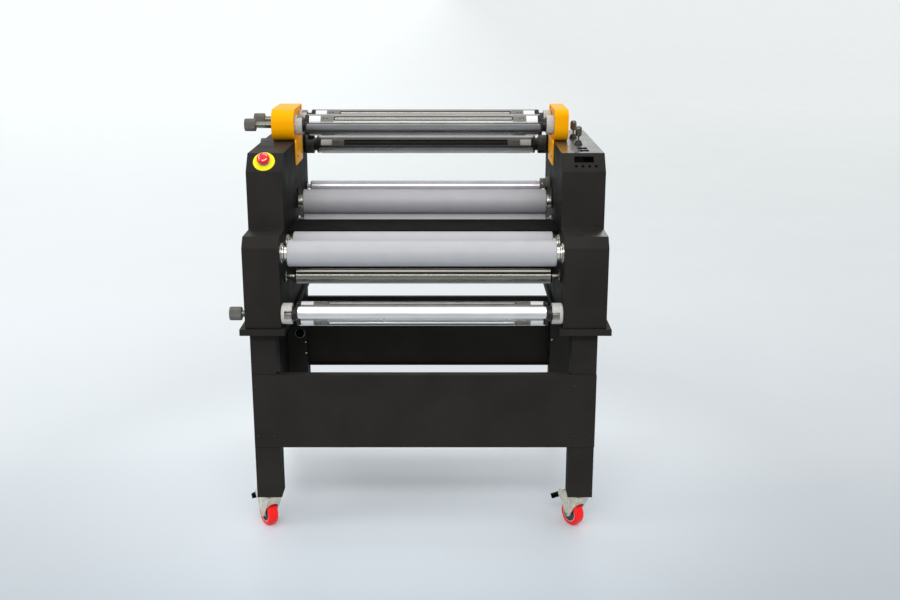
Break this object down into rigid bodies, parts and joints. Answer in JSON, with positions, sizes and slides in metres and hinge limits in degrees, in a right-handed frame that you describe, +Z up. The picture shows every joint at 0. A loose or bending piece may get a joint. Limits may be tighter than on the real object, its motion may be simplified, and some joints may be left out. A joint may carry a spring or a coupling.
{
  "type": "cold roll laminator",
  "caption": "Floor-standing cold roll laminator: grey silicone rollers between dark cabinets, fluted gripper shafts on yellow brackets, a leg stand on braked casters.",
  "frame": {"origin": "on the floor, under the middle of the machine's bounding box", "axes": "+Z up; +X along the rollers to the operator's right; the operator stands at -Y and the media travels to +Y"},
  "size_m": [0.981, 0.7686, 1.089],
  "materials": {
    "charcoal_paint": "fine-textured powder coat",
    "yellow_paint": "smooth satin powder coat",
    "silicone": "smooth ground silicone",
    "roller_steel": "turned",
    "polished_steel": "polished",
    "gripper_aluminium": "anodised extrusion",
    "bearing_steel": "turned and ground",
    "gear_steel": "hobbed, oiled",
    "machined_steel": "milled",
    "motor_grey": "satin",
    "knob_grey": "fine knurl",
    "stop_yellow": "gloss",
    "stop_red": "gloss",
    "black_plastic": "satin",
    "lever_chrome": "chrome plated",
    "caster_steel": "zinc plated and lacquered",
    "caster_wheel": "cast polyurethane on a grey nylon hub",
    "pedal_black": "moulded"
  },
  "bodies": {
    "stand": {"left_stand_side": "charcoal_paint", "right_stand_side": "charcoal_paint", "front_panel": "charcoal_paint", "rear_panel": "charcoal_paint", "left_side_plate": "charcoal_paint", "right_side_plate": "charcoal_paint", "left_cover": "charcoal_paint", "right_cover": "charcoal_paint", "left_shaft_bracket": "yellow_paint", "right_shaft_bracket": "yellow_paint", "feed_table": "charcoal_paint", "crossmember": "charcoal_paint", "bearing_units": "bearing_steel", "lift_cylinders": "machined_steel", "drive_motor": "motor_grey", "e_stop_base": "stop_yellow", "control_bezels": "black_plastic"},
    "front_roller": {"front_roller_sleeve": "silicone", "front_roller_core": "roller_steel"},
    "second_roller": {"second_roller_sleeve": "silicone", "second_roller_core": "roller_steel"},
    "lower_main_roller": {"lower_main_sleeve": "silicone", "lower_main_core": "roller_steel", "lower_roller_gear": "gear_steel"},
    "lift": {"lift_carriage": "machined_steel"},
    "upper_main_roller": {"upper_main_sleeve": "silicone", "upper_main_core": "roller_steel", "upper_roller_gear": "gear_steel"},
    "lower_idler": {"lower_idler": "polished_steel"},
    "rear_idler": {"rear_idler": "polished_steel"},
    "pinion": {"drive_pinion": "gear_steel"},
    "supply_shaft_front": {"supply_shaft_front": "gripper_aluminium"},
    "supply_knob_front": {"supply_knob_front": "knob_grey"},
    "supply_shaft_rear": {"supply_shaft_rear": "gripper_aluminium"},
    "supply_knob_rear": {"supply_knob_rear": "knob_grey"},
    "rewind_shaft": {"rewind_shaft": "gripper_aluminium"},
    "rewind_knob": {"rewind_knob": "knob_grey"},
    "lower_supply_shaft": {"lower_supply_shaft": "gripper_aluminium"},
    "lower_supply_knob": {"lower_supply_knob": "knob_grey"},
    "stop_button": {"e_stop_button": "stop_red"},
    "panel_key_1": {"panel_key_1": "black_plastic"},
    "panel_key_2": {"panel_key_2": "black_plastic"},
    "panel_key_3": {"panel_key_3": "black_plastic"},
    "panel_key_4": {"panel_key_4": "black_plastic"},
    "rocker_switch_front": {"rocker_switch_front": "black_plastic"},
    "rocker_switch_rear": {"rocker_switch_rear": "black_plastic"},
    "toggle_lever_front": {"toggle_lever_front": "lever_chrome"},
    "toggle_lever_rear": {"toggle_lever_rear": "lever_chrome"},
    "caster_fork_front_left": {"caster_fork_front_left": "caster_steel"},
    "caster_wheel_front_left": {"caster_wheel_front_left": "caster_wheel"},
    "caster_pedal_front_left": {"caster_pedal_front_left": "pedal_black"},
    "caster_fork_front_right": {"caster_fork_front_right": "caster_steel"},
    "caster_wheel_front_right": {"caster_wheel_front_right": "caster_wheel"},
    "caster_pedal_front_right": {"caster_pedal_front_right": "pedal_black"},
    "caster_fork_rear_left": {"caster_fork_rear_left": "caster_steel"},
    "caster_wheel_rear_left": {"caster_wheel_rear_left": "caster_wheel"},
    "caster_pedal_rear_left": {"caster_pedal_rear_left": "pedal_black"},
    "caster_fork_rear_right": {"caster_fork_rear_right": "caster_steel"},
    "caster_wheel_rear_right": {"caster_wheel_rear_right": "caster_wheel"},
    "caster_pedal_rear_right": {"caster_pedal_rear_right": "pedal_black"}
  },
  "joints": [
    {"name": "front_roller_spin", "type": "hinge", "parent": "stand", "child": "front_roller", "pos_m": [0.008, -0.3262, 0.762], "axis": [1, 0, 0], "continuous": true},
    {"name": "second_roller_spin", "type": "hinge", "parent": "stand", "child": "second_roller", "pos_m": [0.008, -0.2095, 0.76], "axis": [1, 0, 0], "continuous": true},
    {"name": "lower_main_spin", "type": "hinge", "parent": "stand", "child": "lower_main_roller", "pos_m": [0.008, 0.023, 0.765], "axis": [1, 0, 0], "continuous": true},
    {"name": "upper_roller_lift", "type": "slide", "parent": "stand", "child": "lift", "axis": [0, 0, 1], "range_m": [0, 0.02]},
    {"name": "upper_main_spin", "type": "hinge", "parent": "lift", "child": "upper_main_roller", "pos_m": [0.008, 0.023, 0.832], "axis": [1, 0, 0], "continuous": true},
    {"name": "lower_idler_spin", "type": "hinge", "parent": "stand", "child": "lower_idler", "pos_m": [0.008, -0.273, 0.689], "axis": [1, 0, 0], "continuous": true},
    {"name": "rear_idler_spin", "type": "hinge", "parent": "stand", "child": "rear_idler", "pos_m": [0.008, 0.232, 0.839], "axis": [1, 0, 0], "continuous": true},
    {"name": "pinion_spin", "type": "hinge", "parent": "stand", "child": "pinion", "pos_m": [0.384, 0.04223, 0.71857], "axis": [1, 0, 0], "continuous": true},
    {"name": "supply_shaft_front_spin", "type": "hinge", "parent": "stand", "child": "supply_shaft_front", "pos_m": [0.008, 0.037, 1.044], "axis": [1, 0, 0], "continuous": true},
    {"name": "supply_knob_front_turn", "type": "hinge", "parent": "stand", "child": "supply_knob_front", "pos_m": [-0.491, 0.037, 1.044], "axis": [1, 0, 0], "range_deg": [-360, 360]},
    {"name": "supply_shaft_rear_spin", "type": "hinge", "parent": "stand", "child": "supply_shaft_rear", "pos_m": [0.008, 0.146, 1.047], "axis": [1, 0, 0], "continuous": true},
    {"name": "supply_knob_rear_turn", "type": "hinge", "parent": "stand", "child": "supply_knob_rear", "pos_m": [-0.482, 0.146, 1.047], "axis": [1, 0, 0], "range_deg": [-360, 360]},
    {"name": "rewind_shaft_spin", "type": "hinge", "parent": "stand", "child": "rewind_shaft", "pos_m": [0.008, 0.232, 0.965], "axis": [1, 0, 0], "continuous": true},
    {"name": "rewind_knob_turn", "type": "hinge", "parent": "stand", "child": "rewind_knob", "pos_m": [-0.48, 0.232, 0.965], "axis": [1, 0, 0], "range_deg": [-360, 360]},
    {"name": "lower_supply_shaft_spin", "type": "hinge", "parent": "stand", "child": "lower_supply_shaft", "pos_m": [0.008, -0.353, 0.611], "axis": [1, 0, 0], "continuous": true},
    {"name": "lower_supply_knob_turn", "type": "hinge", "parent": "stand", "child": "lower_supply_knob", "pos_m": [-0.482, -0.353, 0.611], "axis": [1, 0, 0], "range_deg": [-360, 360]},
    {"name": "stop_push", "type": "slide", "parent": "stand", "child": "stop_button", "axis": [0, 0.7368, -0.6761], "range_m": [0, 0.005], "stiffness_N_per_m": 600},
    {"name": "panel_key_1_push", "type": "slide", "parent": "stand", "child": "panel_key_1", "axis": [0, 0.7368, -0.6761], "range_m": [0, 0.0015], "stiffness_N_per_m": 200},
    {"name": "panel_key_2_push", "type": "slide", "parent": "stand", "child": "panel_key_2", "axis": [0, 0.7368, -0.6761], "range_m": [0, 0.0015], "stiffness_N_per_m": 200},
    {"name": "panel_key_3_push", "type": "slide", "parent": "stand", "child": "panel_key_3", "axis": [0, 0.7368, -0.6761], "range_m": [0, 0.0015], "stiffness_N_per_m": 200},
    {"name": "panel_key_4_push", "type": "slide", "parent": "stand", "child": "panel_key_4", "axis": [0, 0.7368, -0.6761], "range_m": [0, 0.0015], "stiffness_N_per_m": 200},
    {"name": "rocker_switch_front_tilt", "type": "hinge", "parent": "stand", "child": "rocker_switch_front", "pos_m": [0.429, -0.176, 1.003], "axis": [0, 1, 0], "range_deg": [-8, 8]},
    {"name": "rocker_switch_rear_tilt", "type": "hinge", "parent": "stand", "child": "rocker_switch_rear", "pos_m": [0.429, -0.131, 1.003], "axis": [0, 1, 0], "range_deg": [-8, 8]},
    {"name": "toggle_lever_front_tilt", "type": "hinge", "parent": "stand", "child": "toggle_lever_front", "pos_m": [0.4265, -0.055, 1.0015], "axis": [1, 0, 0], "range_deg": [-12, 12]},
    {"name": "toggle_lever_rear_tilt", "type": "hinge", "parent": "stand", "child": "toggle_lever_rear", "pos_m": [0.4265, 0.082, 1.0015], "axis": [1, 0, 0], "range_deg": [-12, 12]},
    {"name": "caster_swivel_front_left", "type": "hinge", "parent": "stand", "child": "caster_fork_front_left", "pos_m": [-0.4027, -0.318, 0.098], "axis": [0, 0, 1], "continuous": true},
    {"name": "caster_roll_front_left", "type": "hinge", "parent": "caster_fork_front_left", "child": "caster_wheel_front_left", "pos_m": [-0.415, -0.29976, 0.033], "axis": [-0.829, -0.5592, 0], "continuous": true},
    {"name": "caster_brake_front_left", "type": "hinge", "parent": "caster_fork_front_left", "child": "caster_pedal_front_left", "pos_m": [-0.43178, -0.27489, 0.084], "axis": [-0.829, -0.5592, 0], "range_deg": [0, 12]},
    {"name": "caster_swivel_front_right", "type": "hinge", "parent": "stand", "child": "caster_fork_front_right", "pos_m": [0.4253, -0.318, 0.098], "axis": [0, 0, 1], "continuous": true},
    {"name": "caster_roll_front_right", "type": "hinge", "parent": "caster_fork_front_right", "child": "caster_wheel_front_right", "pos_m": [0.413, -0.29976, 0.033], "axis": [-0.829, -0.5592, 0], "continuous": true},
    {"name": "caster_brake_front_right", "type": "hinge", "parent": "caster_fork_front_right", "child": "caster_pedal_front_right", "pos_m": [0.39622, -0.27489, 0.084], "axis": [-0.829, -0.5592, 0], "range_deg": [0, 12]},
    {"name": "caster_swivel_rear_left", "type": "hinge", "parent": "stand", "child": "caster_fork_rear_left", "pos_m": [-0.4027, 0.307, 0.098], "axis": [0, 0, 1], "continuous": true},
    {"name": "caster_roll_rear_left", "type": "hinge", "parent": "caster_fork_rear_left", "child": "caster_wheel_rear_left", "pos_m": [-0.415, 0.32524, 0.033], "axis": [-0.829, -0.5592, 0], "continuous": true},
    {"name": "caster_brake_rear_left", "type": "hinge", "parent": "caster_fork_rear_left", "child": "caster_pedal_rear_left", "pos_m": [-0.43178, 0.35011, 0.084], "axis": [-0.829, -0.5592, 0], "range_deg": [0, 12]},
    {"name": "caster_swivel_rear_right", "type": "hinge", "parent": "stand", "child": "caster_fork_rear_right", "pos_m": [0.4253, 0.307, 0.098], "axis": [0, 0, 1], "continuous": true},
    {"name": "caster_roll_rear_right", "type": "hinge", "parent": "caster_fork_rear_right", "child": "caster_wheel_rear_right", "pos_m": [0.413, 0.32524, 0.033], "axis": [-0.829, -0.5592, 0], "continuous": true},
    {"name": "caster_brake_rear_right", "type": "hinge", "parent": "caster_fork_rear_right", "child": "caster_pedal_rear_right", "pos_m": [0.39622, 0.35011, 0.084], "axis": [-0.829, -0.5592, 0], "range_deg": [0, 12]}
  ],
  "couplings": [
    {"joint": "upper_main_spin", "follows": "lower_main_spin", "ratio": -1},
    {"joint": "pinion_spin", "follows": "lower_main_spin", "ratio": -2}
  ]
}
